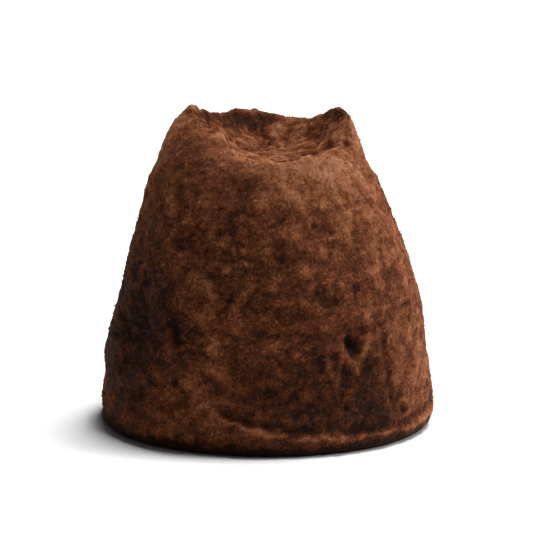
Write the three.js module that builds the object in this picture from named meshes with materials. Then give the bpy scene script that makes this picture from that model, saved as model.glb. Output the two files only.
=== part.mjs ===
// A chocolate truffle rolled in cocoa, standing on its wide end: one solid piece.
// It is a blunt cone with full flanks and a faint lip round the foot. Its narrow top was pulled off,
// which left a shallow dish between a broad ear on the left (-X) and a short tab on the right (+X).
// Lengths are in millimetres and angles in degrees. +Z is up, the front is -Y, the table is z = 0,
// and an angle is counted from +X (right) through +Y (back).
import * as THREE from "three";
import { ParametricGeometry } from "three/addons/geometries/ParametricGeometry.js";

// Flank: its radius falls from the foot to the shoulder by a power curve.
const FOOT_RADIUS = 12.85;
const FOOT_HEIGHT = 1.1; // of the widest ring above the table
const FOOT_INSET = 0.9; // of the ring that touches the table
const SHOULDER_HEIGHT = 20.2;
const SHOULDER_DROP = 4.5; // radius lost from foot to shoulder
const FLANK_POWER = 1.88; // 1 is a straight cone, more is a fuller flank
const RIGHT_DROP = 0.32; // the right loses this much more, the left this much less
const RIGHT_POWER = 0.42; // and is fuller by this much
const OUT_OF_ROUND = [
  { waves: 2, size: 0.1, phase: 125 },
  { waves: 3, size: 0.12, phase: 210 },
];

// Top: the crest is the highest line of the torn rim, and the dish lies inside it.
const CREST_HEIGHT = 22.3;
const CREST_TILT = 0.35; // the back is higher by this, and the front lower, as on a tilted plane
const CREST_RADIUS = 6.1;
const CORNER_ROOM = 0.25; // the shoulder's corner lies at least this far outside the crest
const RAGGED = [
  { waves: 7, size: 0.15, phase: 63 },
  { waves: 13, size: 0.09, phase: 115 },
  { waves: 23, size: 0.06, phase: 23 },
];
const RAGGED_FADE = 10; // a higher power keeps the raggedness closer to the crest
const EAR = { angle: 180, reach: 40, size: 2.0 };
const TAB = { angle: 18, reach: 26, size: 1.8, power: 4 };
const TAB_SPREAD = { angle: 15, reach: 35, size: 0.35 }; // the tab stands a little further out
const BACK = { angle: 100, reach: 66, size: 0.58, power: 4 }; // the back rim is higher than the front
const NICK = { angle: 62, reach: 15, size: -0.6 }; // low place in the back rim
const CHORD = { angle: 215, reach: 32, size: -1.7 }; // the rim cuts straight across the front left
const DISH_HEIGHT = 21.1; // of the dish's floor
const DISH_FLATNESS = 5; // a higher power gives a wider flat floor
const DISH_ROUNDING = 1.8; // a higher power gives the rim a rounder inner edge

// The lip round the foot: a bead with a groove above it. Both wander up and down, come and go,
// and fade at the sides.
const BEAD = { height: 2.1, reach: 1.0, size: 0.16 };
const GROOVE = { height: 3.8, reach: 0.6, size: -0.26 };
const LIP_WANDER = [
  { waves: 2, size: 0.45, phase: 40 },
  { waves: 5, size: 0.2, phase: 0 },
];
const LIP_MEAN = 0.45; // the mean share of its full size that the lip has round the foot
const LIP_SHARE = [
  { waves: 2, size: 0.35, phase: -74 },
  { waves: 5, size: 0.12, phase: 20 },
];

// Dents and lumps that the handling of soft chocolate leaves, as smooth swellings and hollows.
// `least` and `most` bound their reach, and `size` is the height of the largest.
const LUMPS = { count: 90, seed: 74207, least: 1.3, most: 4.0, size: 0.27 };
const PITS = { count: 26, seed: 5519, least: 0.75, most: 1.05, size: -0.5 };
const SMALLEST = 0.4; // the least height among them, as a share of the largest
const SETTLED_HEIGHT = 1.2; // the relief fades out below this, so that the underside is flat

// Dents placed by eye: angle, height above the table, reach and size.
const PLACED = [
  { angle: 260, height: 20.6, reach: 1.3, size: -0.45 }, // below the front rim
  { angle: 302, height: 8.7, reach: 0.9, size: -0.75 }, // deep pit low on the right front
  { angle: 292, height: 6.3, reach: 1.9, size: -0.4 }, // rough hollow beside that pit
  { angle: 315, height: 8.0, reach: 1.8, size: 0.15 }, // the swelling to its right
  { angle: 212, height: 9.5, reach: 2.6, size: -0.5 }, // hollow low on the left front
  { angle: 236, height: 15.0, reach: 3.2, size: 0.25 },
  { angle: 285, height: 15.5, reach: 3.4, size: 0.3 },
  { angle: 120, height: 12.0, reach: 3.6, size: -0.45 },
  { angle: 60, height: 8.0, reach: 2.8, size: -0.4 },
];

// The grid: columns round the axis, and rows in each stretch from the underside's centre to the dish's.
const COLUMNS = 84;
const ROWS = { underside: 5, foot: 4, flank: 24, shoulder: 7, dish: 9 };

const COCOA = { color: 0x7a4a33, roughness: 0.95, metalness: 0 };

const radians = THREE.MathUtils.degToRad;

// The sum of a list's waves round the axis, at an angle.
function ripple(angle, list) {
  const heights = list.map(({ waves, size, phase }) => size * Math.sin(radians(waves * angle + phase)));
  return heights.reduce((sum, height) => sum + height, 0);
}

// What a feature of the rim adds at an angle: its size at its own angle, fading as a bell curve.
// A power above 2 gives the bell a flat top and steeper sides.
function feature(angle, { angle: centre, reach, size, power = 2 }) {
  const apart = THREE.MathUtils.euclideanModulo(angle - centre + 180, 360) - 180;
  return size * Math.exp(-(Math.abs(apart / reach) ** power));
}

// Numbers from 0 to 1 that come out the same every time, from a linear congruential generator.
function drawsFrom(seed) {
  const [multiplier, increment] = [1664525, 1013904223];
  let state = seed;
  return () => {
    state = (Math.imul(state, multiplier) + increment) >>> 0;
    return state / 2 ** 32;
  };
}

// Radius of the flank at a height, before any relief.
function flankRadius(angle, height) {
  const side = Math.cos(radians(angle));
  const share = Math.max(0, (height - FOOT_HEIGHT) / (SHOULDER_HEIGHT - FOOT_HEIGHT));
  const drop = (SHOULDER_DROP + RIGHT_DROP * side) * share ** (FLANK_POWER + RIGHT_POWER * side);
  return FOOT_RADIUS - drop + ripple(angle, OUT_OF_ROUND);
}

// Height of the torn rim's crest, without its raggedness.
function crestHeight(angle) {
  const features = [EAR, TAB, BACK, NICK].reduce((sum, item) => sum + feature(angle, item), 0);
  return CREST_HEIGHT + CREST_TILT * Math.sin(radians(angle)) + features;
}

function crestRadius(angle) {
  return CREST_RADIUS + feature(angle, CHORD) + feature(angle, TAB_SPREAD);
}

// The rounded shoulder: a curve that leaves along the flank and arrives level at the crest.
function shoulder(angle) {
  const step = 0.01;
  const radius = flankRadius(angle, SHOULDER_HEIGHT);
  const slope = (radius - flankRadius(angle, SHOULDER_HEIGHT - step)) / step;
  const crest = new THREE.Vector2(crestRadius(angle), crestHeight(angle) + ripple(angle, RAGGED));
  const corner = Math.max(crest.x + CORNER_ROOM, radius + slope * (crest.y - SHOULDER_HEIGHT));
  return new THREE.QuadraticBezierCurve(
    new THREE.Vector2(radius, SHOULDER_HEIGHT),
    new THREE.Vector2(corner, crest.y),
    crest,
  );
}

// The foot: a curve from the ring that touches the table out to the widest ring.
function foot(angle) {
  const radius = flankRadius(angle, FOOT_HEIGHT);
  return new THREE.QuadraticBezierCurve(
    new THREE.Vector2(radius - FOOT_INSET, 0),
    new THREE.Vector2(radius, 0),
    new THREE.Vector2(radius, FOOT_HEIGHT),
  );
}

// The profile at an angle: each stretch gives radius (x) and height (y) at a share of its length, 0 to 1.
const STRETCHES = {
  underside: (angle, share) => new THREE.Vector2(foot(angle).getPoint(0).x * share, 0),
  foot: (angle, share) => foot(angle).getPoint(share),
  flank: (angle, share) => {
    const height = FOOT_HEIGHT + (SHOULDER_HEIGHT - FOOT_HEIGHT) * share;
    return new THREE.Vector2(flankRadius(angle, height), height);
  },
  shoulder: (angle, share) => shoulder(angle).getPoint(share),
  dish: (angle, share) => {
    const out = 1 - share;
    const wall = 1 - (1 - out ** DISH_FLATNESS) ** DISH_ROUNDING;
    const height = DISH_HEIGHT + (crestHeight(angle) - DISH_HEIGHT) * wall;
    return new THREE.Vector2(
      crestRadius(angle) * out,
      height + ripple(angle, RAGGED) * out ** RAGGED_FADE,
    );
  },
};
const TOTAL_ROWS = Object.values(ROWS).reduce((sum, rows) => sum + rows, 0);

// The profile's point at row v * TOTAL_ROWS, counted from the underside's centre.
function profile(angle, v) {
  let row = v * TOTAL_ROWS;
  for (const [name, rows] of Object.entries(ROWS)) {
    if (row <= rows || name === "dish") return STRETCHES[name](angle, Math.min(row / rows, 1));
    row -= rows;
  }
}

function inSpace(angle, point) {
  return new THREE.Vector3(
    point.x * Math.cos(radians(angle)),
    point.x * Math.sin(radians(angle)),
    point.y,
  );
}

// Outward direction at a point of the profile, square to the profile.
function outward(angle, v) {
  const step = 1e-4;
  const ahead = profile(angle, Math.min(v + step, 1));
  const along = ahead.sub(profile(angle, Math.max(v - step, 0))).normalize();
  return inSpace(angle, new THREE.Vector2(along.y, -along.x));
}

// Bell-shaped swellings and hollows scattered over everything above the foot. A place near the axis
// is kept less often, because the rings are shorter there, and that spaces them evenly.
function scatter({ count, seed, least, most, size }) {
  const draw = drawsFrom(seed);
  const lowest = (ROWS.underside + ROWS.foot) / TOTAL_ROWS;
  return Array.from({ length: count }, () => {
    let angle, point;
    do {
      angle = 360 * draw();
      point = profile(angle, lowest + (1 - lowest) * draw());
    } while (point.x < FOOT_RADIUS * draw());
    const reach = least + (most - least) * draw() ** 2;
    const side = size < 0 ? 1 : Math.sign(draw() - 0.5); // a negative group has hollows only
    const share = SMALLEST + (1 - SMALLEST) * draw();
    return { centre: inSpace(angle, point), reach, size: size * side * share };
  });
}

const BUMPS = [
  ...scatter(LUMPS),
  ...scatter(PITS),
  ...PLACED.map(({ angle, height, reach, size }) => ({
    centre: inSpace(angle, new THREE.Vector2(flankRadius(angle, height), height)),
    reach,
    size,
  })),
];

// How far the lip round the foot stands out at an angle and a height.
function lip(angle, height) {
  const level = height - ripple(angle, LIP_WANDER);
  const across = (band) => band.size * Math.exp(-(((level - band.height) / band.reach) ** 2));
  return (LIP_MEAN + ripple(angle, LIP_SHARE)) * (across(BEAD) + across(GROOVE));
}

// How far the surface stands out of, or into, the smooth profile at a place.
function relief(angle, place) {
  let depth = lip(angle, place.z);
  for (const { centre, reach, size } of BUMPS) {
    depth += size * Math.exp(-place.distanceToSquared(centre) / reach ** 2);
  }
  return depth * THREE.MathUtils.smoothstep(place.z, 0, SETTLED_HEIGHT);
}

// The skin as a function of u, once round the axis, and v, from the underside's centre to the dish's.
function skin(u, v, target) {
  const angle = 360 * (u % 1);
  const smooth = inSpace(angle, profile(angle, v));
  target.copy(smooth).addScaledVector(outward(angle, v), relief(angle, smooth));
}

const geometry = new ParametricGeometry(skin, COLUMNS, TOTAL_ROWS);
const truffle = new THREE.Mesh(geometry, new THREE.MeshStandardMaterial(COCOA));
truffle.name = "truffle";

const group = new THREE.Group();
group.add(truffle);
export default group;
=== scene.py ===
"""Looks of a chocolate truffle rolled in cocoa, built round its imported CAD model.

The truffle is a blunt cone that stands on its wide end. Its torn, dished top lies between a broad ear on
the left and a short tab on the right. The form repeats the named sizes of the CAD solid, and on it come
the finer things: clumped powder, scuffs, craters, cracks and loose crumbs.

Lengths are in millimetres and angles in degrees, counted from +X (right) through +Y (back). A mesh gets
its metres from the CAD model's box when it is made. Only the studio is given in metres.
"""

from __future__ import annotations

import itertools
import logging
import math
from collections.abc import Iterator, Sequence
from dataclasses import dataclass, field
from enum import Enum

import bpy
import numpy as np
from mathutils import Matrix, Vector
from numpy.typing import NDArray


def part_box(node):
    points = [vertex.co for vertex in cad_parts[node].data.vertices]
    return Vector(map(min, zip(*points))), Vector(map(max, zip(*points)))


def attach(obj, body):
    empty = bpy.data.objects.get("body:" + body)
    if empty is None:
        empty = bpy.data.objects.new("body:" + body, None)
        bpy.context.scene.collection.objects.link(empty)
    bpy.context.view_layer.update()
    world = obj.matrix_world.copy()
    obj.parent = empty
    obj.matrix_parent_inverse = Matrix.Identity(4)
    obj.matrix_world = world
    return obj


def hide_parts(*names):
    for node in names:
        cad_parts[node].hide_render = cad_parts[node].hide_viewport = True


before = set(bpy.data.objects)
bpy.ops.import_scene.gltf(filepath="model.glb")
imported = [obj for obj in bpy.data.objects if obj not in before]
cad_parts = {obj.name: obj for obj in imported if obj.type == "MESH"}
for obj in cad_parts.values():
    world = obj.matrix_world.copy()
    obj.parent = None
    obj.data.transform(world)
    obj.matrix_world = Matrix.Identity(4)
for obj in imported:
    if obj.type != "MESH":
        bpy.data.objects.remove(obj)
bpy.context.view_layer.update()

NODE = "truffle"
BODY = "root"
MM = 0.001  # one millimetre in metres

Array = NDArray[np.float64]
Colour = tuple[float, float, float]
log = logging.getLogger("truffle")


def smoothstep(values: Array, low: float, high: float) -> Array:
    """Rise from 0 at low to 1 at high as 3t² - 2t³, where t is the share of the way, clipped to 0..1."""
    share = np.clip((values - low) / (high - low), 0.0, 1.0)
    return share * share * (3.0 - 2.0 * share)


def in_space(angle: Array, radius: Array, height: Array) -> Array:
    """Points from cylinder coordinates: x and y are radius times cosine and sine, and z is the height."""
    turn = np.radians(angle)
    return np.stack(np.broadcast_arrays(radius * np.cos(turn), radius * np.sin(turn), height), axis=-1)


def bell(places: Array, centre: Array, reach: float) -> Array:
    """Bell curve in space: e to the power of minus the squared distance over the squared reach."""
    return np.exp(-np.sum((places - centre) ** 2, axis=-1) / reach**2)


def linear(red: int, green: int, blue: int) -> Colour:
    """Linear colour from screen values of 0 to 255: ((c + 0.055) / 1.055) to the power of 2.4."""
    return tuple(((value / 255.0 + 0.055) / 1.055) ** 2.4 for value in (red, green, blue))


@dataclass(frozen=True)
class Wave:
    """Waves round the axis: how many, how high, and their phase at angle 0."""

    waves: int
    size: float
    phase: float

    def at(self, angle: Array) -> Array:
        """Height at an angle: size times the sine of waves times the angle, plus the phase."""
        return self.size * np.sin(np.radians(self.waves * angle + self.phase))


def ripple(angle: Array, waves: Sequence[Wave]) -> Array:
    """Sum of some waves at an angle."""
    return sum(wave.at(angle) for wave in waves)


@dataclass(frozen=True)
class RimFeature:
    """A raised or cut-away stretch of the torn rim. A power above 2 gives it a flat top."""

    angle: float
    reach: float
    size: float
    power: float = 2.0

    def at(self, angle: Array) -> Array:
        """Size times e to the power of minus (angle apart / reach) to the feature's power."""
        apart = np.mod(angle - self.angle + 180.0, 360.0) - 180.0
        return self.size * np.exp(-(np.abs(apart / self.reach) ** self.power))


@dataclass(frozen=True)
class Band:
    """A bead, or a groove where its size is negative, that runs round the truffle at a height."""

    height: float
    reach: float
    size: float

    def at(self, height: Array) -> Array:
        """Bell curve over the height, as high as the band's size."""
        return self.size * np.exp(-(((height - self.height) / self.reach) ** 2))


@dataclass(frozen=True)
class Bump:
    """A bell-shaped swelling, or a hollow where its size is negative."""

    centre: Array
    reach: float
    size: float

    def at(self, places: Array) -> Array:
        """Height of the bump at places in space."""
        return self.size * bell(places, self.centre, self.reach)


@dataclass(frozen=True)
class Spot:
    """A place on the flank, given one by one, with how far it reaches and how high or strong it is."""

    angle: float
    height: float
    reach: float
    size: float


@dataclass(frozen=True)
class Scatter:
    """A group of scattered bumps, with their least and greatest reach. A size below 0 makes hollows."""

    count: int
    seed: int
    least: float
    most: float
    size: float


def draws_from(seed: int) -> Iterator[float]:
    """Random numbers, by the linear congruential generator that the CAD solid draws its bumps with.

    Args:
        seed: Number that the draws start from.

    Yields:
        Numbers from 0 to 1.
    """
    multiplier, increment, span = 1664525, 1013904223, 2**32
    state = seed
    while True:
        state = (state * multiplier + increment) % span
        yield state / span


@dataclass(frozen=True)
class Rows:
    """How many rows of the grid lie in each stretch, from the underside's centre to the dish's."""

    underside: int
    foot: int
    flank: int
    shoulder: int
    dish: int

    def counts(self) -> tuple[int, ...]:
        """The rows of the five stretches, in order."""
        return (self.underside, self.foot, self.flank, self.shoulder, self.dish)

    def total(self) -> int:
        """All rows together."""
        return sum(self.counts())


@dataclass
class TruffleForm:
    """The truffle's form with its dents and lumps, as the CAD solid has it."""

    foot_radius: float = 12.85
    foot_height: float = 1.1
    foot_inset: float = 0.9
    shoulder_height: float = 20.2
    shoulder_drop: float = 4.5
    flank_power: float = 1.88
    right_drop: float = 0.32
    right_power: float = 0.42
    out_of_round: tuple[Wave, ...] = (Wave(2, 0.1, 125), Wave(3, 0.12, 210))
    rim_height: float = 22.3
    rim_tilt: float = 0.35
    rim_radius: float = 6.1
    corner_room: float = 0.25  # least distance from the crest to the corner of the shoulder's curve
    ragged: tuple[Wave, ...] = (Wave(7, 0.15, 63), Wave(13, 0.09, 115), Wave(23, 0.06, 23))
    ragged_fade: float = 10.0
    ear: RimFeature = RimFeature(180, 40, 2.0)
    tab: RimFeature = RimFeature(18, 26, 1.8, 4.0)
    tab_spread: RimFeature = RimFeature(15, 35, 0.35)
    back: RimFeature = RimFeature(100, 66, 0.58, 4.0)
    nick: RimFeature = RimFeature(62, 15, -0.6)
    chord: RimFeature = RimFeature(215, 32, -1.7)
    dish_height: float = 21.1
    dish_flatness: float = 5.0
    dish_rounding: float = 1.8
    bead: Band = Band(2.1, 1.0, 0.16)
    groove: Band = Band(3.8, 0.6, -0.26)
    lip_wander: tuple[Wave, ...] = (Wave(2, 0.45, 40), Wave(5, 0.2, 0))
    lip_mean: float = 0.45
    lip_share: tuple[Wave, ...] = (Wave(2, 0.35, -74), Wave(5, 0.12, 20))
    lumps: Scatter = Scatter(90, 74207, 1.3, 4.0, 0.27)
    pits: Scatter = Scatter(26, 5519, 0.75, 1.05, -0.5)
    smallest: float = 0.4  # least share of its group's size that a scattered bump has
    settled_height: float = 1.2  # the underside is flat, and from here up the surface is uneven in full
    dents: tuple[Spot, ...] = (
        Spot(260, 20.6, 1.3, -0.45),
        Spot(302, 8.7, 0.9, -0.75),  # the pit low on the right
        Spot(292, 6.3, 1.9, -0.4),
        Spot(315, 8.0, 1.8, 0.15),
        Spot(212, 9.5, 2.6, -0.5),
        Spot(236, 15.0, 3.2, 0.25),
        Spot(285, 15.5, 3.4, 0.3),
        Spot(120, 12.0, 3.6, -0.45),
        Spot(60, 8.0, 2.8, -0.4),
    )
    cad_columns: int = 84
    cad_rows: Rows = Rows(5, 4, 24, 7, 9)
    bumps: list[Bump] = field(init=False)

    def __post_init__(self) -> None:
        """Draws the bumps in the CAD solid's order, so that each lies where it does there."""
        placed = [Bump(self.on_flank(d.angle, d.height), d.reach, d.size) for d in self.dents]
        self.bumps = [*self.scattered(self.lumps), *self.scattered(self.pits), *placed]

    def flank_radius(self, angle: Array, height: Array) -> Array:
        """Smooth flank: the foot's radius less a drop, a power of the height, plus waves round the axis.

        Args:
            angle: Angles round the axis.
            height: Heights above the underside.

        Returns:
            The radius at each.
        """
        side = np.cos(np.radians(angle))
        share = np.maximum(0.0, (height - self.foot_height) / (self.shoulder_height - self.foot_height))
        power = self.flank_power + self.right_power * side
        drop = (self.shoulder_drop + self.right_drop * side) * share**power
        return self.foot_radius - drop + ripple(angle, self.out_of_round)

    def on_flank(self, angle: float, height: float) -> Array:
        """A point of the smooth flank."""
        return in_space(np.float64(angle), self.flank_radius(angle, height), np.float64(height))

    def crest_height(self, angle: Array) -> Array:
        """Height of the torn rim's crest without its raggedness: a tilted ring plus the rim's features."""
        features = sum(feature.at(angle) for feature in (self.ear, self.tab, self.back, self.nick))
        return self.rim_height + self.rim_tilt * np.sin(np.radians(angle)) + features

    def crest_radius(self, angle: Array) -> Array:
        """Radius of the torn rim's crest: the rim's, less what is cut away and wider at the tab."""
        return self.rim_radius + self.chord.at(angle) + self.tab_spread.at(angle)

    def shoulder_at(self, angle: Array, share: Array) -> tuple[Array, Array]:
        """Rounded shoulder: a curve that leaves along the flank and is level at the crest.

        With s for the share, it is the flank's end times (1 - s)², plus a corner times 2s(1 - s), plus the
        crest times s². The corner is where the flank's line reaches the crest's height, outside the crest.

        Args:
            angle: Angles round the axis.
            share: Share of the curve's length, 0 at the flank and 1 at the crest.

        Returns:
            Radius and height.
        """
        step = 0.01
        radius = self.flank_radius(angle, self.shoulder_height)
        slope = (radius - self.flank_radius(angle, self.shoulder_height - step)) / step
        crest = self.crest_height(angle) + ripple(angle, self.ragged)
        end = self.crest_radius(angle)
        corner = np.maximum(end + self.corner_room, radius + slope * (crest - self.shoulder_height))
        first, middle, last = (1 - share) ** 2, 2 * share * (1 - share), share**2
        return (
            first * radius + middle * corner + last * end,
            first * self.shoulder_height + (middle + last) * crest,
        )

    def dish_at(self, angle: Array, share: Array) -> tuple[Array, Array]:
        """Dish: a flat floor that rises to the crest by powers of the distance from the axis.

        Args:
            angle: Angles round the axis.
            share: Share of the way, 0 at the crest and 1 at the axis.

        Returns:
            Radius and height.
        """
        out = 1 - share
        wall = 1 - (1 - out**self.dish_flatness) ** self.dish_rounding
        height = self.dish_height + (self.crest_height(angle) - self.dish_height) * wall
        return self.crest_radius(angle) * out, height + ripple(angle, self.ragged) * out**self.ragged_fade

    def profile(self, angle: Array, v: Array, rows: Rows) -> tuple[Array, Array]:
        """Smooth profile, stretch by stretch, from the underside's centre to the dish's.

        The underside is flat. The foot's edge is rounded: its height grows as the square of the share of the
        way, and its distance from the flank shrinks as the square of what is left of it.

        Args:
            angle: Angles round the axis.
            v: Share of all rows, 0 to 1.
            rows: How many rows each stretch has.

        Returns:
            Radius and height.
        """
        row = v * rows.total()
        starts = np.cumsum((0, *rows.counts()))
        shares = [np.clip((row - start) / n, 0.0, 1.0) for start, n in zip(starts, rows.counts())]
        wide = self.flank_radius(angle, self.foot_height)
        flank_height = self.foot_height + (self.shoulder_height - self.foot_height) * shares[2]
        stretches = [
            ((wide - self.foot_inset) * shares[0], 0.0 * shares[0]),
            (wide - self.foot_inset * (1 - shares[1]) ** 2, self.foot_height * shares[1] ** 2),
            (self.flank_radius(angle, flank_height), flank_height),
            self.shoulder_at(angle, shares[3]),
            self.dish_at(angle, shares[4]),
        ]
        inside = [row <= end for end in starts[1:-1]]
        radius, height = (
            np.select(inside, [s[part] for s in stretches[:-1]], stretches[-1][part]) for part in (0, 1)
        )
        return radius, height

    def outward(self, angle: Array, v: Array, rows: Rows) -> Array:
        """Outward direction, square to the smooth profile, from the step between two near points of it.

        Args:
            angle: Angles round the axis.
            v: Share of all rows, 0 to 1.
            rows: How many rows each stretch has.

        Returns:
            A unit vector for each point.
        """
        step = 1e-4
        radius_0, height_0 = self.profile(angle, np.maximum(v - step, 0.0), rows)
        radius_1, height_1 = self.profile(angle, np.minimum(v + step, 1.0), rows)
        along = np.hypot(radius_1 - radius_0, height_1 - height_0)
        return in_space(angle, (height_1 - height_0) / along, (radius_0 - radius_1) / along)

    def scattered(self, group: Scatter) -> list[Bump]:
        """Bumps spread evenly over everything above the foot, with the CAD solid's draws.

        Args:
            group: How many bumps, how wide and how high.

        Returns:
            The bumps.
        """
        draw = draws_from(group.seed)
        rows = self.cad_rows
        lowest = (rows.underside + rows.foot) / rows.total()
        bumps: list[Bump] = []
        while len(bumps) < group.count:
            angle = np.float64(360.0 * next(draw))
            radius, height = self.profile(angle, np.float64(lowest + (1 - lowest) * next(draw)), rows)
            if radius < self.foot_radius * next(draw):
                continue
            reach = group.least + (group.most - group.least) * next(draw) ** 2
            side = 1.0 if group.size < 0 else math.copysign(1.0, next(draw) - 0.5)
            share = self.smallest + (1 - self.smallest) * next(draw)
            bumps.append(Bump(in_space(angle, radius, height), reach, group.size * side * share))
        return bumps

    def lip(self, angle: Array, height: Array) -> Array:
        """Bead and groove round the foot, which wander up and down and come and go.

        Args:
            angle: Angles round the axis.
            height: Heights above the underside.

        Returns:
            How far they stand out at each.
        """
        level = height - ripple(angle, self.lip_wander)
        strength = self.lip_mean + ripple(angle, self.lip_share)
        return strength * (self.bead.at(level) + self.groove.at(level))

    def surface(self, angle: Array, v: Array, rows: Rows) -> Array:
        """The form's surface: the smooth profile, moved outwards by the lip and the bumps.

        Args:
            angle: Angles round the axis, as a grid.
            v: Shares of all rows, as a grid.
            rows: How many rows each stretch has.

        Returns:
            Points in space, a grid of them.
        """
        radius, height = self.profile(angle, v, rows)
        smooth = in_space(angle, radius, height)
        depth = self.lip(angle, height) + sum(bump.at(smooth) for bump in self.bumps)
        depth = depth * smoothstep(height, 0.0, self.settled_height)
        return smooth + self.outward(angle, v, rows) * depth[..., None]

    def grid(self, columns: int, rows: Rows) -> tuple[Array, Array]:
        """The surface on a grid of rows by columns.

        Args:
            columns: How many columns go round the axis.
            rows: How many rows each stretch has.

        Returns:
            Points and row shares.
        """
        turns = 360.0 * np.arange(columns) / columns
        shares = np.arange(rows.total() + 1) / rows.total()
        angle, v = np.meshgrid(turns, shares)
        return self.surface(angle, v, rows), v


@dataclass(frozen=True)
class Placement:
    """Turns the form's millimetres into the frame's metres, by the CAD node's box."""

    scale: Array
    shift: Array

    @classmethod
    def onto_node(cls, form: TruffleForm, node: str) -> Placement:
        """Fits the box of the form, worked out on the CAD solid's own grid, to the CAD node's box.

        Args:
            form: The truffle's form.
            node: Name of the CAD node.

        Returns:
            The placement.
        """
        points = form.grid(form.cad_columns, form.cad_rows)[0].reshape(-1, 3)
        low, high = (np.array(corner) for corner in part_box(node))
        scale = (high - low) / (points.max(axis=0) - points.min(axis=0))
        return cls(scale, low - points.min(axis=0) * scale)

    def metres(self, points: Array) -> Array:
        """The points in the frame."""
        return points * self.scale + self.shift


@dataclass(frozen=True)
class Texture:
    """Layers of noise, each with half the wavelength of the one before it."""

    height: float
    wavelength: float
    layers: int
    keep: float = 0.5  # share of its height that each further layer keeps
    mean: float = 0.0  # taken from the layers' sum


@dataclass(frozen=True)
class Warp:
    """A shift of places by noise, which makes lines wander: its wavelength and how far it goes."""

    wavelength: float
    far: float


class SpaceNoise:
    """Smooth gradient noise in space, from about -1 to 1, that comes out the same every time."""

    CELLS = 256
    GAIN = 1.7  # brings the noise's range close to -1 to 1
    LAYER_STEP, CLUMP_STEP, AXIS_STEP = 7.3, 5.1, 31.7  # keep layers and axes from reading the same noise
    ELSEWHERE = 90.0  # shift of places to a part of the noise that nothing else reads

    def __init__(self, seed: int) -> None:
        """Draws the table of slopes.

        Args:
            seed: Number that the table is drawn from.
        """
        rng = np.random.default_rng(seed)
        self.order = np.tile(rng.permutation(self.CELLS), 2)
        slopes = rng.normal(size=(self.CELLS, 3))
        self.slopes = slopes / np.linalg.norm(slopes, axis=1, keepdims=True)

    def at(self, places: Array, wavelength: float) -> Array:
        """Noise of one wavelength.

        Each corner of a place's cell has a slope. The noise is the mean of what the eight slopes give at
        the place, weighted by the fade 6t⁵ - 15t⁴ + 10t³ along each axis.

        Args:
            places: Points in space.
            wavelength: Size of a cell.

        Returns:
            One number for each point.
        """
        scaled = places / wavelength
        cell = np.floor(scaled).astype(int)
        local = scaled - cell
        fade = local**3 * (local * (6.0 * local - 15.0) + 10.0)
        total = np.zeros(places.shape[:-1])
        for corner in itertools.product((0, 1), repeat=3):
            x, y, z = np.moveaxis((cell + corner) % self.CELLS, -1, 0)
            slope = self.slopes[self.order[self.order[self.order[x] + y] + z]]
            weight = np.prod(np.where(corner, fade, 1.0 - fade), axis=-1)
            total += weight * np.sum(slope * (local - corner), axis=-1)
        return self.GAIN * total

    def layered(self, places: Array, texture: Texture) -> Array:
        """Height of a texture.

        Args:
            places: Points in space.
            texture: The layers.

        Returns:
            Its height times the sum of its layers less their mean.
        """
        total = sum(
            self.at(places + self.LAYER_STEP * n, texture.wavelength / 2**n) * texture.keep**n
            for n in range(texture.layers)
        )
        return texture.height * (total - texture.mean)

    def clumped(self, places: Array, texture: Texture) -> Array:
        """Height of a texture of absolute noise: round clumps with sharp valleys between them.

        Args:
            places: Points in space.
            texture: The layers.

        Returns:
            Its height times the sum of its absolute layers less their mean.
        """
        total = sum(
            np.abs(self.at(places + self.CLUMP_STEP * n, texture.wavelength / 2**n)) * texture.keep**n
            for n in range(texture.layers)
        )
        return texture.height * (total - texture.mean)

    def seamed(self, places: Array, wavelength: float, width: float) -> Array:
        """Thin lines where the noise crosses zero: 1 on a line, fading as a bell curve to 0 beside it."""
        return np.exp(-((self.at(places, wavelength) / width) ** 2))

    def pushed(self, places: Array, warp: Warp) -> Array:
        """The places, each moved along every axis by a noise of the warp's."""
        moves = [self.at(places + self.AXIS_STEP * (axis + 1), warp.wavelength) for axis in range(3)]
        return places + warp.far * np.stack(moves, axis=-1)


@dataclass(frozen=True)
class Scuff:
    """A short ridge on the flank between two points, given by angle and height. A negative size cuts in."""

    start: tuple[float, float]
    end: tuple[float, float]
    reach: float
    size: float

    def at(self, places: Array, form: TruffleForm) -> Array:
        """Height of the ridge: a bell curve of the distance to its line, fading towards both ends.

        Distances are measured round the flank and up it, so that dents under the line don't matter. The
        fading is the root of 4s(1 - s), where s is the share of the way along the line.

        Args:
            places: Points in space.
            form: The form whose flank carries it.

        Returns:
            The height at each point.
        """
        radius = form.flank_radius(*self.start)
        turn = np.degrees(np.arctan2(places[..., 1], places[..., 0])) - self.start[0]
        across = np.radians(np.mod(turn + 180.0, 360.0) - 180.0) * radius
        up = places[..., 2] - self.start[1]
        line = np.array([math.radians(self.end[0] - self.start[0]) * radius, self.end[1] - self.start[1]])
        share = np.clip((across * line[0] + up * line[1]) / (line @ line), 0.0, 1.0)
        taper = np.sqrt(4.0 * share * (1.0 - share))
        apart = (across - share * line[0]) ** 2 + (up - share * line[1]) ** 2
        return self.size * taper * np.exp(-apart / self.reach**2)


@dataclass(frozen=True)
class Speckle:
    """How many of a small thing there are, drawn from which seed, and their sizes."""

    count: int
    seed: int
    least: float
    most: float
    power: float  # the higher it is, the more of them are small

    def sizes(self, rng: np.random.Generator) -> Array:
        """Random sizes: least, and up to most by a number from 0 to 1 to the power."""
        return self.least + (self.most - self.least) * rng.random(self.count) ** self.power


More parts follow.
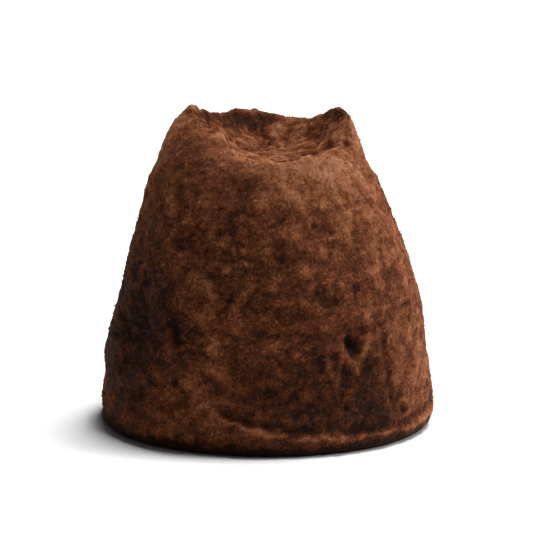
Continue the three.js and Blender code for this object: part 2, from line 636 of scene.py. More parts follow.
@dataclass(frozen=True)
class LipEdge:
    """The thin edge of the lip, which sweeps down from the front and round the right of the foot."""

    course: tuple[tuple[float, float], ...] = (
        (246, 4.2), (254, 3.0), (262, 2.3), (278, 1.6), (306, 1.25), (327, 1.1), (352, 1.3), (380, 2.6)
    )
    fade: float = 14.0  # degrees over which each end fades
    reach: float = 0.22
    size: float = 0.16
    groove_above: float = 0.7
    groove_reach: float = 0.4
    groove_size: float = -0.11

    def at(self, places: Array) -> Array:
        """A ridge along the course and a groove above it, each a bell curve over the height.

        Args:
            places: Points in space.

        Returns:
            The height at each.
        """
        angles, heights = np.transpose(self.course)
        turn = np.mod(np.degrees(np.arctan2(places[..., 1], places[..., 0])) - angles[0], 360.0) + angles[0]
        rise = smoothstep(turn, angles[0], angles[0] + self.fade)
        fall = smoothstep(turn, angles[-1] - self.fade, angles[-1])
        level = places[..., 2] - np.interp(turn, angles, heights)
        ridge = Band(0.0, self.reach, self.size).at(level)
        groove = Band(self.groove_above, self.groove_reach, self.groove_size).at(level)
        return (rise - fall) * (ridge + groove)


@dataclass(frozen=True)
class Zones:
    """How far each point lies on torn chocolate, on the crest, just inside it, and on a fleck.

    The first three are shares from 0 to 1. A fleck is above 0 where it is a pale scratch, and below 0 where
    it is a dark spot.
    """

    torn: Array
    crest: Array
    wall: Array
    fleck: Array


@dataclass(frozen=True)
class PowderRelief:
    """The fine relief of cocoa powder on soft chocolate, as heights above the form."""

    seed: int = 1907
    swell: Texture = Texture(0.1, 3.4, 2)
    rough: Texture = Texture(0.085, 1.7, 4, keep=0.62)
    clump: Texture = Texture(0.1, 0.95, 2, mean=0.45)
    torn: Texture = Texture(0.22, 1.5, 3, mean=0.5)
    wander: Warp = Warp(2.2, 0.5)
    bend: Warp = Warp(1.1, 0.22)
    torn_bend: Warp = Warp(1.4, 0.5)
    lying: float = 1.5  # features on the flank are this much wider than they are high
    crack: float = 0.09
    crack_size: float = 2.4
    crack_width: float = 0.05
    crack_patch: float = 4.5  # wavelength of the noise that says where there are cracks
    crack_full: float = 0.35  # value of that noise from which they are deepest
    settled_height: float = 0.7
    lip: LipEdge = LipEdge()
    craters: Speckle = Speckle(85, 811, 0.13, 0.4, 2.5)
    crater_depth: float = 0.5  # as a share of its reach
    crater_rim: float = 0.2  # as a share of its depth
    rim_radius: float = 1.6  # as a share of its reach
    rim_width: float = 0.5  # as a share of its reach
    scuffs: Speckle = Speckle(75, 4023, 0.7, 3.6, 2.0)
    scuff_reach: tuple[float, float] = (0.09, 0.2)
    scuff_depth: tuple[float, float] = (0.04, 0.13)
    scuff_slant: tuple[float, float] = (15.0, 35.0)  # mean and spread
    scuff_lowest: float = 2.0
    fleck: float = 0.08
    placed_scuffs: tuple[Scuff, ...] = (
        Scuff((318, 3.2), (316, 9.8), 0.3, -0.14),
        Scuff((301.5, 9.2), (304, 7.6), 0.36, -0.17),
        Scuff((249, 17.4), (262, 19.6), 0.3, -0.14),
        Scuff((228, 11.5), (240, 6.5), 0.26, -0.13),
    )

    def crater_heights(self, places: Array, seats: Array) -> Array:
        """Small craters: each a bell-shaped hollow inside a faint raised ring.

        Args:
            places: Points in space.
            seats: Points of the surface that the craters may be centred on, spread evenly.

        Returns:
            Height at each place, below 0 in a hollow.
        """
        rng = np.random.default_rng(self.craters.seed)
        chosen = seats[rng.integers(len(seats), size=self.craters.count)]
        total = np.zeros(places.shape[:-1])
        for centre, reach in zip(chosen, self.craters.sizes(rng)):
            apart = np.sqrt(np.sum((places - centre) ** 2, axis=-1)) / reach
            hollow = np.exp(-(apart**2))
            ring = np.exp(-(((apart - self.rim_radius) / self.rim_width) ** 2))
            total -= self.crater_depth * reach * (hollow - self.crater_rim * ring)
        return total

    def scuff_heights(self, places: Array, form: TruffleForm) -> Array:
        """Grooves that touch and rubbing left: some placed one by one, the others scattered over the flank.

        Args:
            places: Points in space.
            form: The form whose flank carries them.

        Returns:
            Height at each place, below 0 in a groove.
        """
        rng = np.random.default_rng(self.scuffs.seed)
        total = sum(scuff.at(places, form) for scuff in self.placed_scuffs)
        for length in self.scuffs.sizes(rng):
            angle, height = rng.uniform(0, 360), rng.uniform(self.scuff_lowest, form.shoulder_height)
            slant = math.radians(rng.normal(*self.scuff_slant))
            turn = math.degrees(length * math.cos(slant) / form.foot_radius)
            end = (angle + turn, height + length * math.sin(slant))
            reach, depth = rng.uniform(*self.scuff_reach), rng.uniform(*self.scuff_depth)
            total = total + Scuff((angle, height), end, reach, -depth).at(places, form)
        return total

    def at(self, places: Array, zones: Zones, seats: Array, form: TruffleForm) -> tuple[Array, Array]:
        """Height of the relief: the sum of its textures and marks, which ends at the underside.

        Args:
            places: Points of the form's surface.
            zones: Where they lie.
            seats: Points of the surface, spread evenly, for the craters.
            form: The truffle's form.

        Returns:
            The height, and the relief without its broad swell, which the tone reads: painted shade in its
            hollows, painted light on its lumps.
        """
        noise = SpaceNoise(self.seed)
        wandering = noise.pushed(places * (1.0, 1.0, self.lying), self.wander)
        bent = noise.pushed(places, self.bend)
        swell = noise.layered(places, self.swell)
        rough = noise.layered(wandering, self.rough)
        clump = noise.clumped(bent, self.clump)
        cracked = smoothstep(noise.at(places + noise.ELSEWHERE, self.crack_patch), 0.0, self.crack_full)
        crack = -self.crack * cracked * noise.seamed(wandering, self.crack_size, self.crack_width)
        marks = self.crater_heights(bent, seats) + self.scuff_heights(bent, form) + self.lip.at(bent)
        torn = zones.torn * noise.clumped(noise.pushed(places, self.torn_bend), self.torn)
        fine = rough + clump + crack + marks + torn + self.fleck * zones.fleck
        settled = smoothstep(places[..., 2], 0.0, self.settled_height)
        return (swell + fine) * settled, fine * settled


@dataclass(frozen=True)
class DustingAndPaintedLight:
    """How thickly the powder lies, thin low down and inside the torn rim, thick on the shoulder; and painted
    light and shade.
    """

    middle: float = 0.5
    # low and high: thinner powder low down and thicker on the shoulder, and with it painted shade low on the
    # flank and painted light on the upper faces
    low: float = -0.08
    high: float = 0.24
    low_height: float = 16.5
    high_height: float = 23.0
    hides: float = 0.45  # how much of the relief's painted hollow shade and lump light the thickest powder hides
    # edge and its height: a painted contact shadow along the foot's bottom edge
    edge: float = -0.6
    painted_contact_shadow_height: float = 1.3
    dish: float = -0.02
    fleck: float = 0.13
    # crest: painted highlight and shade along the crest, paler on the front-left ridge, darker at the back
    # and on the ear; partly paler powder on the ridge
    crest: tuple[RimFeature, ...] = (
        RimFeature(250, 30, 0.14, 4.0),
        RimFeature(112, 34, -0.26, 4.0),
        RimFeature(28, 22, 0.04, 4.0),
        RimFeature(180, 22, -0.12, 4.0),
    )
    # wall: painted shade on the inner wall under the back rim, inside the ear and under the tab, and painted
    # light on its right side
    wall: tuple[RimFeature, ...] = (
        RimFeature(112, 36, -0.38, 4.0),
        RimFeature(157, 13, -0.3, 4.0),
        RimFeature(30, 20, -0.4, 4.0),
        RimFeature(352, 16, 0.16, 4.0),
    )
    # patches, partly the truffle's own uneven colour and partly painted light and shade: the one at 206° is
    # a painted shadow low on the left, the one at 303° painted shade in the pit
    patches: tuple[Spot, ...] = (
        Spot(206, 8.5, 6.0, -0.34), Spot(211, 22.4, 3.0, -0.3), Spot(240, 21.6, 2.4, -0.15),
        Spot(268, 19.3, 1.8, 0.05), Spot(292, 19.6, 2.0, -0.11), Spot(260, 20.7, 1.1, -0.26),
        Spot(303, 8.5, 0.75, -0.4), Spot(255, 14.6, 2.0, -0.1), Spot(247, 10.5, 5.0, 0.12),
        Spot(246, 9.8, 1.6, 0.08), Spot(231, 8.0, 3.5, -0.13), Spot(205, 15.0, 2.6, -0.07),
        Spot(243, 4.0, 3.4, 0.1), Spot(268, 6.5, 3.2, -0.12), Spot(275, 3.6, 2.2, -0.12),
        Spot(300, 21.2, 3.5, 0.18), Spot(284, 5.0, 2.6, -0.18), Spot(304, 3.2, 2.4, -0.23),
        Spot(262, 3.4, 1.3, 0.09), Spot(313, 3.0, 2.0, -0.1), Spot(306, 6.9, 1.8, -0.16),
        Spot(317, 16.4, 3.6, 0.04), Spot(329, 18.6, 2.2, 0.08), Spot(294, 16.8, 1.8, 0.12),
        Spot(334, 15.8, 4.2, 0.17), Spot(334, 4.5, 3.0, 0.12), Spot(355, 7.0, 6.0, 0.18),
        Spot(20, 14.0, 6.0, 0.08), Spot(75, 7.0, 6.0, -0.14), Spot(120, 15.0, 5.0, 0.08),
        Spot(150, 5.0, 5.0, -0.08),
    )

    def at(self, places: Array, fine: Array, zones: Zones, form: TruffleForm) -> Array:
        """Tone: the relief's, which paints shade in hollows and light on lumps and which thick powder hides
        in part, plus what the powder and the painted light and shade add.

        The powder adds a rise from low to high, which is also painted shade low down and painted light
        higher up.
        Added are a painted contact shadow at the foot's edge, painted highlight and shade along the rim's
        crest and inner wall, what the flecks add, and patches, partly the truffle's own colour and partly
        painted light and shade, each a bell curve.

        Args:
            places: Points of the surface.
            fine: The relief's tone there, which is 0 on average: painted shade in its hollows, painted light
                on its lumps.
            zones: Where the points lie.
            form: The form whose flank carries the patches.

        Returns:
            The tone at each point.
        """
        height = places[..., 2]
        angle = np.degrees(np.arctan2(places[..., 1], places[..., 0]))
        rise = smoothstep(height, self.low_height, self.high_height)
        total = self.middle + fine * (1.0 - self.hides * rise * (1.0 - zones.torn))
        total += self.low + (self.high - self.low) * rise + self.dish * zones.torn
        # painted contact shadow along the foot's bottom edge
        total += self.edge * (1.0 - smoothstep(height, 0.0, self.painted_contact_shadow_height))
        # painted highlight and shade along the rim's crest
        total += zones.crest * sum(stretch.at(angle) for stretch in self.crest)
        # painted shade, and a little painted light, on the rim's inner wall
        total += zones.wall * sum(stretch.at(angle) for stretch in self.wall)
        total += self.fleck * zones.fleck
        # patches: the truffle's own colour, and painted light and shade
        for patch in self.patches:
            total += patch.size * bell(places, form.on_flank(patch.angle, patch.height), patch.reach)
        return total


def grid_normals(points: Array) -> Array:
    """Outward unit normals of a grid that closes round the axis: the way round times the way along.

    Args:
        points: Rows by columns of points. The first and last rows are poles, one point each.

    Returns:
        A unit vector for each point.
    """
    around = np.roll(points, -1, axis=1) - np.roll(points, 1, axis=1)
    along = np.gradient(points, axis=0)
    normals = np.cross(around, along)
    normals[0], normals[-1] = (0.0, 0.0, -1.0), (0.0, 0.0, 1.0)
    return normals / np.linalg.norm(normals, axis=-1, keepdims=True)


def closed_faces(rows: int, columns: int) -> list[Sequence[int]]:
    """Faces of a grid closed round the axis and at both poles, all facing outwards.

    The points are numbered with the first pole as 0, then row by row, and the last pole at the end.

    Args:
        rows: How many rows lie between the poles.
        columns: How many columns go round.

    Returns:
        Triangles at the poles and quads between them.
    """
    ring = np.arange(columns)
    after = np.roll(ring, -1)
    start = 1 + columns * np.arange(rows - 1)[:, None]
    quads = np.stack([start + ring, start + after, start + columns + after, start + columns + ring], axis=-1)
    last = 1 + columns * (rows - 1)
    first_pole = np.stack([0 * ring, 1 + after, 1 + ring], axis=-1)
    last_pole = np.stack([0 * ring + 1 + columns * rows, last + ring, last + after], axis=-1)
    return [*first_pole.tolist(), *quads.reshape(-1, 4).tolist(), *last_pole.tolist()]


def make_piece(
    name: str, points: Array, faces: Sequence[Sequence[int]], tone: Array, smooth: bool = True
) -> bpy.types.Object:
    """An object at the origin, with a `tone` for each point that its finish reads.

    Args:
        name: The piece's name.
        points: Points in metres.
        faces: Point numbers of each face.
        tone: How dark or pale each point is, about 0 to 1.
        smooth: Whether light flows over the edges of its faces.

    Returns:
        The object.
    """
    mesh = bpy.data.meshes.new(name)
    mesh.from_pydata(points.tolist(), [], faces)
    mesh.attributes.new("tone", "FLOAT", "POINT").data.foreach_set("value", tone.astype(np.float32))
    mesh.polygons.foreach_set("use_smooth", np.full(len(mesh.polygons), smooth))
    mesh.validate()
    piece = bpy.data.objects.new(name, mesh)
    bpy.context.scene.collection.objects.link(piece)
    return piece


class Maths(Enum):
    """What a Math node does with its values."""

    ADD = "ADD"
    SUBTRACT = "SUBTRACT"
    MULTIPLY = "MULTIPLY"


class Field:
    """One value of a material. Arithmetic on it adds Math nodes."""

    def __init__(self, shader: Shader, socket: bpy.types.NodeSocket) -> None:
        """Wraps an output of the shader that holds a value."""
        self.shader = shader
        self.socket = socket

    def _maths(self, operation: Maths, *values: Field | float) -> Field:
        """The result of a Math node."""
        return self.shader.value("ShaderNodeMath", {"operation": operation.value}, dict(enumerate(values)))

    def __add__(self, other: Field | float) -> Field:
        """Sum."""
        return self._maths(Maths.ADD, self, other)

    def __sub__(self, other: Field | float) -> Field:
        """Difference."""
        return self._maths(Maths.SUBTRACT, self, other)

    def __rsub__(self, other: float) -> Field:
        """Difference, with the number first."""
        return self._maths(Maths.SUBTRACT, other, self)

    def __mul__(self, other: Field | float) -> Field:
        """Product."""
        return self._maths(Maths.MULTIPLY, self, other)

    __radd__ = __add__
    __rmul__ = __mul__

    def rise(self, low: float, high: float) -> Field:
        """0 below low, 1 above high, and smooth between them."""
        inputs = {"Value": self, "From Min": low, "From Max": high}
        return self.shader.value("ShaderNodeMapRange", {"interpolation_type": "SMOOTHSTEP"}, inputs)


@dataclass(frozen=True)
class Grain:
    """One noise of a finish: the size of its coarsest features, its finer layers and its weight."""

    size: float
    detail: float  # how many finer layers it has
    roughness: float  # how strong they are
    weight: float


class Shader:
    """A material under construction, with its own surface shader and its Object coordinates."""

    MIX_FACTOR, MIX_FIRST, MIX_SECOND, MIX_COLOUR = 0, 6, 7, 2  # sockets of a Mix node that mixes colours

    def __init__(self, name: str) -> None:
        """Makes an empty material of this name, with a Principled surface.

        Args:
            name: The material's name.
        """
        self.material = bpy.data.materials.new(name)
        self.material.use_nodes = True
        self.tree = self.material.node_tree
        self.tree.nodes.clear()
        self.surface = self.node("ShaderNodeBsdfPrincipled")
        self.node("ShaderNodeOutputMaterial", inputs={"Surface": self.surface.outputs[0]})
        self.places = self.node("ShaderNodeTexCoord").outputs["Object"]

    def node(self, kind: str, settings: dict | None = None, inputs: dict | None = None) -> bpy.types.Node:
        """Adds a node.

        Args:
            kind: The node's type.
            settings: Properties, set first. `stops` holds a ramp's places and colours.
            inputs: A value, a socket or a Field for each input, by its name or number.

        Returns:
            The node.
        """
        node = self.tree.nodes.new(kind)
        for key, value in (settings or {}).items():
            if key == "stops":
                self._set_stops(node.color_ramp, value)
            else:
                setattr(node, key, value)
        for key, value in (inputs or {}).items():
            self.feed(node.inputs[key], value)
        return node

    @staticmethod
    def _set_stops(ramp: bpy.types.ColorRamp, stops: Sequence[tuple[float, Colour]]) -> None:
        """Gives a ramp its stops.

        Args:
            ramp: A new colour ramp.
            stops: Places from 0 to 1, with the colour at each.
        """
        while len(ramp.elements) < len(stops):
            ramp.elements.new(1.0)
        for element, (place, colour) in zip(ramp.elements, stops):
            element.position = place
            element.color = (*colour, 1.0)

    def feed(self, socket: bpy.types.NodeSocket, value: object) -> None:
        """Links an output to an input, or sets the input to a value.

        Args:
            socket: The input.
            value: A Field, a socket or a plain value.
        """
        source = value.socket if isinstance(value, Field) else value
        if isinstance(source, bpy.types.NodeSocket):
            self.tree.links.new(source, socket)
        else:
            socket.default_value = source

    def value(self, kind: str, settings: dict | None = None, inputs: dict | None = None) -> Field:
        """Adds a node and gives its first output as a Field."""
        return Field(self, self.node(kind, settings, inputs).outputs[0])

    def attribute(self, name: str) -> Field:
        """A value that the mesh stores at each point."""
        return Field(self, self.node("ShaderNodeAttribute", {"attribute_name": name}).outputs["Fac"])

    def stretched(self, amounts: Colour) -> bpy.types.NodeSocket:
        """The Object coordinates, each multiplied by its own amount."""
        settings = {"operation": "MULTIPLY"}
        return self.node("ShaderNodeVectorMath", settings, {0: self.places, 1: amounts}).outputs[0]

    def noise(self, grain: Grain, places: bpy.types.NodeSocket | None = None) -> Field:
        """Noise from 0 to 1 on the Object coordinates, or on others that are handed in.

        Args:
            grain: Its size in millimetres, and its finer layers.
            places: Other coordinates.

        Returns:
            The noise.
        """
        inputs = {
            "Vector": self.places if places is None else places,
            "Scale": 1.0 / (grain.size * MM),
            "Detail": grain.detail,
            "Roughness": grain.roughness,
        }
        return self.value("ShaderNodeTexNoise", {"noise_dimensions": "3D"}, inputs)

    def ramp(self, factor: Field, stops: Sequence[tuple[float, Colour]]) -> bpy.types.NodeSocket:
        """Colour that a factor picks from some stops."""
        return self.node("ShaderNodeValToRGB", {"stops": stops}, {"Fac": factor}).outputs[0]

    def mix(self, factor: Field, first: Colour, second: Colour) -> bpy.types.NodeSocket:
        """Blend of two colours: the first at factor 0, the second at 1."""
        inputs = {self.MIX_FACTOR: factor, self.MIX_FIRST: (*first, 1.0), self.MIX_SECOND: (*second, 1.0)}
        return self.node("ShaderNodeMix", {"data_type": "RGBA"}, inputs).outputs[self.MIX_COLOUR]

    def bump(self, height: Field, distance: float, strength: float) -> bpy.types.NodeSocket:
        """Normal that a height field gives, with the distance in millimetres."""
        inputs = {"Height": height, "Distance": distance * MM, "Strength": strength}
        return self.node("ShaderNodeBump", inputs=inputs).outputs[0]

    def finished(self, inputs: dict[str, object]) -> bpy.types.Material:
        """Feeds the surface.

        Args:
            inputs: A value, a socket or a Field for each of its inputs, by name.

        Returns:
            The material.
        """
        for name, value in inputs.items():
            self.feed(self.surface.inputs[name], value)
        return self.material


@dataclass(frozen=True)
class CocoaFinish:
    """Dry cocoa powder on dark chocolate: velvety and matt, darker where it is thin, with painted shade in
    hollows.
    """

    name: str = "cocoa powder"
    colours: tuple[tuple[float, Colour], ...] = (  # the colour at each tone
        # the darkest colours are reached mostly where shade is painted: in hollows, in the pit and along the
        # foot's edge
        (0.08, linear(36, 16, 8)),
        (0.3, linear(75, 38, 19)),
        (0.5, linear(107, 58, 34)),
        (0.68, linear(140, 84, 54)),
        (0.94, linear(174, 118, 85)),
    )
    palest: Colour = linear(204, 152, 118)  # at the end of the ramp
    tone_share: float = 0.78  # leaves room in the ramp for tones above 1
    patch: Grain = Grain(5.0, 2.0, 0.5, 0.26)
    mottle: Grain = Grain(1.0, 4.0, 0.62, 0.2)
    mottle_range: tuple[float, float] = (0.3, 0.7)
    streak: Grain = Grain(0.8, 3.0, 0.6, 0.32)
    streak_lying: float = 2.4  # streaks are this much wider than they are high
    speck: Grain = Grain(0.3, 3.0, 0.65, 0.45)
    fleck: Grain = Grain(0.17, 1.0, 0.5, 0.16)
    pale_flecks: tuple[float, float] = (0.56, 0.68)
    dark_flecks: tuple[float, float] = (0.32, 0.44)
    bump_grain: Grain = Grain(0.2, 3.0, 0.65, 0.7)
    bump_speck: float = 0.4  # weight of the specks in the bump
    bump_depth: float = 0.1
    bump_strength: float = 0.85
    thin_roughness: float = 0.8
    powder_roughness: float = 0.18  # added where the powder covers the chocolate
    covered: tuple[float, float] = (0.15, 0.5)  # tones between which it comes to cover it
    sheen: float = 0.05
    sheen_roughness: float = 0.5
    sheen_tint: Colour = linear(190, 122, 84)
    specular: float = 0.08

    def material(self) -> bpy.types.Material:
        """Makes the material.

        The tone is the mesh's, painted light and shade included, plus each noise less its mean of 0.5 times
        its
        weight: wide patches, mottling, lying streaks and fine specks. Pale flecks are added and dark ones
        taken away. A ramp turns the tone into colour, and the darkest parts, where little powder lies or
        shade is painted, are a little smoother.

        Returns:
            The material.
        """
        shader = Shader(self.name)
        speck = shader.noise(self.speck)
        noises = (
            (self.patch, shader.noise(self.patch)),
            (self.mottle, shader.noise(self.mottle).rise(*self.mottle_range)),
            (self.streak, shader.noise(self.streak, shader.stretched((1.0, 1.0, self.streak_lying)))),
            (self.speck, speck),
        )
        tone = shader.attribute("tone")
        for grain, noise in noises:
            tone = tone + grain.weight * (noise - 0.5)
        fleck = shader.noise(self.fleck)
        flecks = fleck.rise(*self.pale_flecks) - (1 - fleck.rise(*self.dark_flecks))
        tone = tone + self.fleck.weight * flecks
        stops = [(level * self.tone_share, colour) for level, colour in self.colours]
        bumps = self.bump_speck * speck + self.bump_grain.weight * shader.noise(self.bump_grain)
        return shader.finished({
            "Base Color": shader.ramp(tone * self.tone_share, [*stops, (1.0, self.palest)]),
            "Roughness": self.thin_roughness + self.powder_roughness * tone.rise(*self.covered),
            "Normal": shader.bump(bumps, self.bump_depth, self.bump_strength),
            "Diffuse Roughness": 1.0,
            "Specular IOR Level": self.specular,
            "Sheen Weight": self.sheen,
            "Sheen Roughness": self.sheen_roughness,
            "Sheen Tint": (*self.sheen_tint, 1.0),
        })


@dataclass
class CocoaSkin:
    """The truffle's body: the form on a fine grid, with the powder's relief."""

    form: TruffleForm
    placement: Placement
    relief: PowderRelief = PowderRelief()
    dusting_and_painted_light: DustingAndPaintedLight = DustingAndPaintedLight()
    finish: CocoaFinish = CocoaFinish()
    columns: int = 480
    rows: Rows = Rows(6, 8, 118, 28, 40)
    torn_start: float = 0.6  # share of the shoulder where the torn part begins
    crest_light_and_shade_rows: float = 3.0  # how far from its middle the crest's paler powder and painted highlight and shade reach
    wall_shade_rows: tuple[float, float] = (3.0, 11.5)  # where the painted shade on the inner wall is darkest, and where it ends
    painted_hollow_shade_relief: float = 0.53  # relief that takes the tone from 0 to 1, as painted shade in hollows and painted light on lumps
    seat_seed: int = 77
    flecks: tuple[Scuff, ...] = (  # pale scratches beside the pit, and dark spots between them
        Scuff((292.0, 8.4), (295.2, 5.2), 0.24, 1.0),
        Scuff((299.2, 8.4), (295.2, 5.0), 0.24, 0.9),
        Scuff((298.4, 8.5), (303.5, 6.2), 0.24, 1.0),
        Scuff((303.0, 6.2), (310.8, 9.0), 0.24, 1.0),
        Scuff((302.8, 6.6), (306.4, 5.6), 0.24, 0.6),
        Scuff((290.0, 7.8), (291.2, 6.2), 0.34, -0.7),
        Scuff((295.2, 8.1), (296.2, 7.3), 0.3, -0.6),
        Scuff((299.6, 6.8), (299.2, 5.8), 0.32, -0.6),
        Scuff((308.0, 7.4), (309.0, 6.0), 0.4, -0.9),
    )
    points: Array = field(init=False)
    tone: Array = field(init=False)

    def __post_init__(self) -> None:
        """Works out the surface in millimetres, and its tone."""
        base, v = self.form.grid(self.columns, self.rows)
        zones = self.zones(base, v * self.rows.total())
        height, fine = self.relief.at(base, zones, self.crater_seats(base), self.form)
        self.points = base + grid_normals(base) * height[..., None]
        self.points[..., 2] = np.maximum(self.points[..., 2], 0.0)
        self.tone = self.dusting_and_painted_light.at(base, fine / self.painted_hollow_shade_relief, zones, self.form)

    def zones(self, base: Array, row: Array) -> Zones:
        """Zones of the torn top, told by how many rows a point lies inside the crest, and the flecks.

        Args:
            base: Points of the form's surface.
            row: Row of each point.

        Returns:
            The zones.
        """
        inside = row - (self.rows.total() - self.rows.dish)
        start = (self.torn_start - 1.0) * self.rows.shoulder
        enter, leave = self.wall_shade_rows
        return Zones(
            torn=smoothstep(inside, start, 1.0),
            crest=np.exp(-(((inside + self.crest_light_and_shade_rows / 2) / self.crest_light_and_shade_rows) ** 2)),
            wall=smoothstep(inside, 0.0, enter) - smoothstep(inside, enter, leave),
            fleck=sum(fleck.at(base, self.form) for fleck in self.flecks),
        )

    def crater_seats(self, base: Array) -> Array:
        """Points above the foot, spread evenly: a point near the axis is kept less often.

        Args:
            base: Points of the form's surface.

        Returns:
            The points that are kept.
        """
        rng = np.random.default_rng(self.seat_seed)
        radius = np.hypot(base[..., 0], base[..., 1])
        kept = rng.random(radius.shape) < radius / self.form.foot_radius
        kept[: self.rows.underside + self.rows.foot] = False
        return base[kept]

    def build(self) -> bpy.types.Object:
        """Makes the piece that stands for the CAD node.

        Returns:
            The object.
        """
        inner = self.points[1:-1].reshape(-1, 3)
        points = np.concatenate([self.points[0, :1], inner, self.points[-1, :1]])
        tone = np.concatenate([self.tone[0, :1], self.tone[1:-1].ravel(), self.tone[-1, :1]])
        faces = closed_faces(self.rows.total() - 1, self.columns)
        piece = make_piece("cocoa_skin", self.placement.metres(points), faces, tone)
        piece.data.materials.append(self.finish.material())
        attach(piece, BODY)
        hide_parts(NODE)
        return piece


@dataclass
class Crumbs:
    """Coarse grains of cocoa that cling to the skin, as one joined mesh."""

    skin: CocoaSkin
    finish: CocoaFinish = CocoaFinish(name="cocoa crumbs", sheen=0.1)
    size: Speckle = Speckle(5200, 3109, 0.035, 0.08, 2.5)
    sunk: float = 0.65  # how deep a grain sits, as a share of its radius
    tone_change: float = 0.1  # how far its tone is from the skin's
    uneven: float = 0.4  # how much its corners differ
    bare_tone: float = 1.3  # tone of the skin at which few grains stay
    holds: tuple[float, float] = (0.1, 1.2)  # least and most that a place holds, before it is squared

    def build(self) -> bpy.types.Object:
        """Sets a dented icosahedron at each chosen point of the skin, turned and scaled at random.

        Returns:
            The object.
        """
        rng = np.random.default_rng(self.size.seed)
        corners, sides = self.icosahedron()
        centres, normals, skin_tone = self.seats(rng)
        count = len(centres)
        radius = self.size.sizes(rng)
        shape = corners * rng.uniform(1 - self.uneven, 1 + self.uneven, size=(count, len(corners), 1))
        shape = np.einsum("nij,nkj->nki", self.turns(rng, count), shape)
        lift = normals * (radius * (1 - self.sunk))[:, None]
        points = centres[:, None] + lift[:, None] + shape * radius[:, None, None]
        points[..., 2] = np.maximum(points[..., 2], 0.0)
        faces = (np.arange(count)[:, None, None] * len(corners) + sides).reshape(-1, 3)
        # each grain takes the skin's tone where it sits, painted light and shade included, changed a little
        # at random
        tone = np.repeat(skin_tone + self.tone_change * rng.uniform(-1, 1, count), len(corners))
        metres = self.skin.placement.metres(points.reshape(-1, 3))
        piece = make_piece("cocoa_crumbs", metres, faces.tolist(), tone, smooth=False)
        piece.data.materials.append(self.finish.material())
        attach(piece, BODY)
        return piece

    def seats(self, rng: np.random.Generator) -> tuple[Array, Array, Array]:
        """Points of the skin above the foot, more of them where its tone is dark, as in hollows with painted
        shade.

        A point's weight is its radius, which evens out the grid, times the square of how much it holds.

        Args:
            rng: Source of the draws.

        Returns:
            Points, and the unit normals and the tone there.
        """
        skin = self.skin
        first = skin.rows.underside + skin.rows.foot
        points, tone = skin.points[first:-1], skin.tone[first:-1]
        held = np.clip(self.bare_tone - tone, *self.holds)
        weight = np.hypot(points[..., 0], points[..., 1]) * held**2
        share = (weight / weight.sum()).ravel()
        chosen = rng.choice(share.size, size=self.size.count, replace=False, p=share)
        normals = grid_normals(skin.points)[first:-1]
        return points.reshape(-1, 3)[chosen], normals.reshape(-1, 3)[chosen], tone.ravel()[chosen]

    @staticmethod
    def icosahedron() -> tuple[Array, NDArray[np.int64]]:
        """An icosahedron of radius 1, with its faces outwards.

        Its corners are (±1, ±golden ratio, 0), and the same with the axes moved round, brought to radius 1.
        Before that its edges are 2 long, and three corners that lie this far from each other are a face.

        Returns:
            The 12 corners, and the corner numbers of the 20 faces.
        """
        golden, edge = (1 + math.sqrt(5)) / 2, 2.0
        flat = np.array([(-1, golden, 0), (1, golden, 0), (-1, -golden, 0), (1, -golden, 0)])
        corners = np.concatenate([np.roll(flat, places, axis=1) for places in range(3)])
        triples = np.array(list(itertools.combinations(range(len(corners)), 3)))
        lengths = np.linalg.norm(corners[triples] - corners[np.roll(triples, 1, axis=1)], axis=-1)
        faces = triples[np.isclose(lengths, edge).all(axis=1)]
        first, second, third = np.moveaxis(corners[faces], 1, 0)
        inward = np.sum(np.cross(second - first, third - first) * first, axis=-1) < 0
        faces[inward] = faces[inward][:, [0, 2, 1]]
        return corners / np.linalg.norm(corners[0]), faces

    @staticmethod
    def turns(rng: np.random.Generator, count: int) -> Array:
        """Random rotation matrices, from unit quaternions drawn evenly.

        Args:
            rng: Source of the draws.
            count: How many.

        Returns:
            The matrices.
        """
        drawn = rng.normal(size=(4, count))
        w, x, y, z = drawn / np.linalg.norm(drawn, axis=0)
        rows = [
            [1 - 2 * (y * y + z * z), 2 * (x * y - z * w), 2 * (x * z + y * w)],
            [2 * (x * y + z * w), 1 - 2 * (x * x + z * z), 2 * (y * z - x * w)],
            [2 * (x * z - y * w), 2 * (y * z + x * w), 1 - 2 * (x * x + y * y)],
        ]
        return np.moveaxis(np.array(rows), -1, 0)


@dataclass(frozen=True)
class TableFinish:
    """Plain pale table: white, matt and very faintly uneven."""

    light: Colour = linear(236, 236, 236)
    shade: Colour = linear(231, 231, 230)
    cloud: Grain = Grain(90.0, 2.0, 0.5, 0.1)
    roughness: float = 0.7
    specular: float = 0.2

    def material(self) -> bpy.types.Material:
        """Makes the material, which blends two whites by a soft noise.

        Returns:
            The material.
        """
        shader = Shader("pale table")
        cloud = shader.noise(self.cloud)
        return shader.finished({
            "Base Color": shader.mix(cloud, self.shade, self.light),
            "Roughness": self.roughness + self.cloud.weight * cloud,
            "Specular IOR Level": self.specular,
        })


@dataclass(frozen=True)
class Softbox:
    """A soft rectangular light, placed by direction and distance from its target, in metres and watts."""

    name: str
    azimuth: float
    elevation: float
    distance: float
    width: float
    height: float
    power: float
    colour: Colour = (1.0, 1.0, 1.0)

    def build(self, target: Vector) -> None:
        """Adds the light, turned towards the target.

        Args:
            target: Point that it lights.
        """
        data = bpy.data.lights.new(self.name, "AREA")
        data.shape = "RECTANGLE"
        data.size, data.size_y = self.width, self.height
        data.energy, data.color = self.power, self.colour
        lamp = bpy.data.objects.new(self.name, data)
        away = direction(self.azimuth, self.elevation)
        lamp.location = target + self.distance * away
        lamp.rotation_euler = away.to_track_quat("Z", "Y").to_euler()
        bpy.context.scene.collection.objects.link(lamp)


def direction(azimuth: float, elevation: float) -> Vector:
    """Unit vector away from the truffle: azimuth 0 is the front (-Y), 90 the right (+X)."""
    turn, rise = math.radians(azimuth), math.radians(elevation)
    return Vector((math.sin(turn) * math.cos(rise), -math.cos(turn) * math.cos(rise), math.sin(rise)))


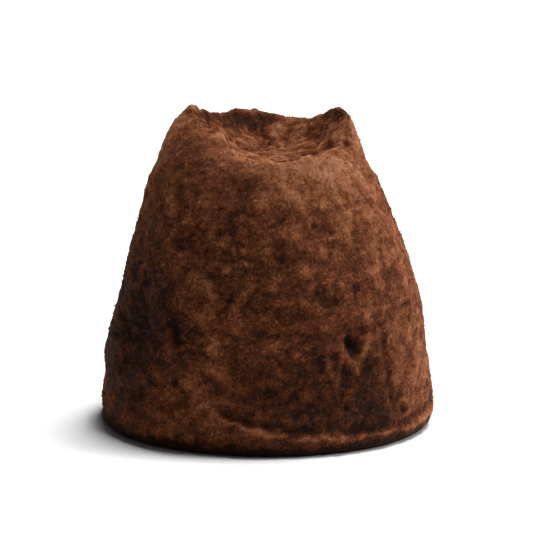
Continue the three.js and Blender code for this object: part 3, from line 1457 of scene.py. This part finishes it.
@dataclass
class Studio:
    """Table, lights and camera, in metres."""

    camera_elevation: float = 13.0
    camera_distance: float = 0.62
    view_width: float = 0.0415  # how much the picture spans at the truffle
    sensor: float = 36.0  # the one size here in millimetres, as a camera takes it
    clip: tuple[float, float] = (0.01, 10.0)  # the nearest and the furthest that the camera sees
    table_size: float = 3.0
    aim_height: float = 0.0122
    surroundings: float = 0.06  # grey level of the light that comes from all round
    table: TableFinish = TableFinish()
    lights: tuple[Softbox, ...] = (
        Softbox("overhead softbox", 125, 71, 0.9, 0.42, 0.36, 13.4),
        Softbox("right softbox", 88, 28, 0.8, 0.3, 0.4, 3.3),
    )

    def build(self) -> None:
        """Adds the table, the lights, the surroundings and the camera."""
        target = Vector((0.0, 0.0, self.aim_height))
        self.add_table()
        self.add_surroundings()
        for light in self.lights:
            light.build(target)
        self.add_camera(target)

    def add_table(self) -> None:
        """Adds the table top, a flat square grid on the frame's floor."""
        half = self.table_size / 2
        points = np.array([(-half, -half, 0.0), (half, -half, 0.0), (half, half, 0.0), (-half, half, 0.0)])
        top = make_piece("table_top", points, [(0, 1, 2, 3)], np.zeros(len(points)))
        top.data.materials.append(self.table.material())

    def add_surroundings(self) -> None:
        """Gives the world an even grey light, and has colours shown as they are."""
        world = bpy.data.worlds.new("studio")
        world.use_nodes = True
        grey = self.surroundings
        world.node_tree.nodes["Background"].inputs["Color"].default_value = (grey, grey, grey, 1.0)
        bpy.context.scene.world = world
        bpy.context.scene.view_settings.view_transform = "Standard"

    def add_camera(self, target: Vector) -> None:
        """Adds a long lens at the photograph's viewing angle.

        Args:
            target: Point at the picture's centre.
        """
        data = bpy.data.cameras.new("camera")
        data.sensor_width = self.sensor
        data.lens = self.sensor * self.camera_distance / self.view_width
        data.clip_start, data.clip_end = self.clip
        camera = bpy.data.objects.new("camera", data)
        away = direction(0.0, self.camera_elevation)
        camera.location = target + self.camera_distance * away
        camera.rotation_euler = away.to_track_quat("Z", "Y").to_euler()
        bpy.context.scene.collection.objects.link(camera)
        bpy.context.scene.camera = camera


def report(piece: bpy.types.Object) -> None:
    """Logs a piece's size."""
    piece.data.calc_loop_triangles()
    log.info("%s: %d triangles", piece.name, len(piece.data.loop_triangles))


def main() -> None:
    """Builds the truffle and its studio, and reports each piece."""
    logging.basicConfig(level=logging.INFO, format="%(name)s: %(message)s")
    form = TruffleForm()
    placement = Placement.onto_node(form, NODE)
    log.info("scale to metres: %s, shift: %s", placement.scale, placement.shift)
    skin = CocoaSkin(form, placement)
    report(skin.build())
    report(Crumbs(skin).build())
    Studio().build()


if __name__ == "__main__":
    main()
